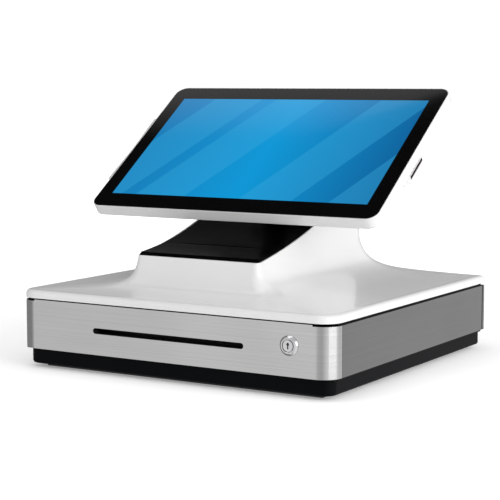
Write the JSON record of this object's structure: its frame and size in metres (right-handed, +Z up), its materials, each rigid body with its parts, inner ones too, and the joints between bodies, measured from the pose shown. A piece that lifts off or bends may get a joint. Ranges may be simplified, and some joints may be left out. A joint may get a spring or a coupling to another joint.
{
  "type": "point-of-sale touchscreen terminal",
  "caption": "Countertop touchscreen terminal on a white pylon with a built-in receipt printer, over a brushed steel cash drawer with till, media slot and key lock.",
  "frame": {"origin": "on the surface the feet stand on, under the middle of the base", "axes": "+X to the operator's right, +Y to the back, +Z up"},
  "size_m": [0.409, 0.4036, 0.3196],
  "materials": {
    "rubber": "matte",
    "plinth_black": "satin black powder coat",
    "chassis_black": "satin black",
    "zinc_sheet": "zinc plated",
    "steel_front": "horizontally brushed",
    "steel_side": "horizontally brushed",
    "white_gloss": "high gloss white",
    "black_gloss": "high gloss black",
    "black_plastic": "fine textured",
    "grey_plastic": "light grey satin",
    "paper": "thermal paper",
    "steel_pin": "ground",
    "screw_steel": "plated",
    "chrome": "polished",
    "socket_metal": "tin plated",
    "board_green": "solder mask",
    "sink_aluminium": "anodised",
    "gear_plastic": "acetal",
    "cover_glass": "clear with black border",
    "panel_black": "display panel",
    "till_black": "fine textured",
    "reader_window": "dark red window"
  },
  "bodies": {
    "base": {"foot_strips": "rubber", "base_tray": "plinth_black", "chassis_frame": "chassis_black", "chassis_top": "chassis_black", "bay_partition": "chassis_black", "side_panels": "steel_side", "rear_panel": "steel_side", "top_cover": "white_gloss", "pylon_rear_cover": "white_gloss", "lid_hinge_pin": "steel_pin", "ramp_cover": "black_gloss", "printer_frame": "black_plastic", "thermal_head": "sink_aluminium", "tear_bar": "steel_pin", "printer_motor": "zinc_sheet", "io_board": "board_green", "port_sockets": "socket_metal", "drawer_solenoid": "zinc_sheet", "outer_rails": "zinc_sheet", "neck_bracket": "chassis_black", "tilt_pin": "steel_pin", "rear_panel_screws": "screw_steel"},
    "middle_rails": {"middle_rails": "zinc_sheet"},
    "drawer": {"drawer_front": "steel_front", "drawer_liner": "black_plastic", "drawer_box": "chassis_black", "till_tray": "till_black", "clip_rod": "steel_pin", "inner_rails": "zinc_sheet", "lock_housing": "chrome"},
    "lock": {"lock_plug": "chrome", "lock_cam": "zinc_sheet"},
    "printer_lid": {"printer_lid": "black_gloss"},
    "platen": {"platen_roller": "rubber", "platen_gear": "gear_plastic"},
    "drive_gear": {"drive_gear": "gear_plastic"},
    "motor_pinion": {"motor_pinion": "gear_plastic"},
    "paper_roll": {"paper_roll": "paper"},
    "plunger": {"solenoid_plunger": "steel_pin"},
    "latch": {"latch_hook": "steel_pin"},
    "display": {"touch_glass": "cover_glass", "head_bezel": "white_gloss", "lcd_panel": "panel_black", "head_chassis": "zinc_sheet", "head_rear_cover": "white_gloss", "main_board": "board_green", "heat_sink": "sink_aluminium", "card_reader_body": "grey_plastic", "card_reader_guide": "grey_plastic", "code_reader_pod": "white_gloss", "code_reader_window": "reader_window", "tilt_bracket": "chassis_black", "bracket_screws": "screw_steel"},
    "power_button": {"power_button": "black_plastic"},
    "bill_clip_1": {"bill_clip_1": "till_black"},
    "bill_clip_2": {"bill_clip_2": "till_black"},
    "bill_clip_3": {"bill_clip_3": "till_black"},
    "bill_clip_4": {"bill_clip_4": "till_black"},
    "bill_clip_5": {"bill_clip_5": "till_black"}
  },
  "joints": [
    {"name": "drawer_slide", "type": "slide", "parent": "base", "child": "drawer", "axis": [0, -1, 0], "range_m": [0, 0.27]},
    {"name": "middle_rail_slide", "type": "slide", "parent": "base", "child": "middle_rails", "axis": [0, -1, 0], "range_m": [0, 0.136]},
    {"name": "lock_turn", "type": "hinge", "parent": "drawer", "child": "lock", "pos_m": [0.154, -0.1995, 0.0564], "axis": [0, 1, 0], "range_deg": [0, 90]},
    {"name": "lid_hinge", "type": "hinge", "parent": "base", "child": "printer_lid", "pos_m": [0, -0.134, 0.1306], "axis": [1, 0, 0], "range_deg": [0, 70]},
    {"name": "platen_spin", "type": "hinge", "parent": "printer_lid", "child": "platen", "pos_m": [0, -0.095, 0.129], "axis": [1, 0, 0], "continuous": true},
    {"name": "drive_gear_spin", "type": "hinge", "parent": "base", "child": "drive_gear", "pos_m": [0.072, -0.0956, 0.11431], "axis": [1, 0, 0], "continuous": true},
    {"name": "motor_spin", "type": "hinge", "parent": "base", "child": "motor_pinion", "pos_m": [0.072, -0.08376, 0.11], "axis": [1, 0, 0], "continuous": true},
    {"name": "paper_spin", "type": "hinge", "parent": "base", "child": "paper_roll", "pos_m": [0, -0.1115, 0.1055], "axis": [1, 0, 0], "continuous": true},
    {"name": "plunger_slide", "type": "slide", "parent": "base", "child": "plunger", "axis": [0, 0, 1], "range_m": [0, 0.002], "stiffness_N_per_m": 150},
    {"name": "latch_turn", "type": "hinge", "parent": "base", "child": "latch", "pos_m": [0.138, 0.15, 0.074], "axis": [1, 0, 0], "range_deg": [0, 8.1]},
    {"name": "display_tilt", "type": "hinge", "parent": "base", "child": "display", "pos_m": [0, 0.066, 0.222], "axis": [1, 0, 0], "range_deg": [-20, 5]},
    {"name": "power_press", "type": "slide", "parent": "display", "child": "power_button", "axis": [0, -0.5764, 0.8171], "range_m": [0, 0.0015], "stiffness_N_per_m": 300},
    {"name": "clip_1_lift", "type": "hinge", "parent": "drawer", "child": "bill_clip_1", "pos_m": [0, 0.126, 0.06], "axis": [-1, 0, 0], "range_deg": [0, 20], "stiffness_Nm_per_rad": 0.03},
    {"name": "clip_2_lift", "type": "hinge", "parent": "drawer", "child": "bill_clip_2", "pos_m": [0, 0.126, 0.06], "axis": [-1, 0, 0], "range_deg": [0, 20], "stiffness_Nm_per_rad": 0.03},
    {"name": "clip_3_lift", "type": "hinge", "parent": "drawer", "child": "bill_clip_3", "pos_m": [0, 0.126, 0.06], "axis": [-1, 0, 0], "range_deg": [0, 20], "stiffness_Nm_per_rad": 0.03},
    {"name": "clip_4_lift", "type": "hinge", "parent": "drawer", "child": "bill_clip_4", "pos_m": [0, 0.126, 0.06], "axis": [-1, 0, 0], "range_deg": [0, 20], "stiffness_Nm_per_rad": 0.03},
    {"name": "clip_5_lift", "type": "hinge", "parent": "drawer", "child": "bill_clip_5", "pos_m": [0, 0.126, 0.06], "axis": [-1, 0, 0], "range_deg": [0, 20], "stiffness_Nm_per_rad": 0.03}
  ],
  "couplings": [
    {"joint": "middle_rail_slide", "follows": "drawer_slide", "ratio": 0.5},
    {"joint": "drive_gear_spin", "follows": "platen_spin", "ratio": -0.75},
    {"joint": "motor_spin", "follows": "platen_spin", "ratio": 1.5},
    {"joint": "latch_turn", "follows": "plunger_slide", "rad_per_m": 70}
  ]
}
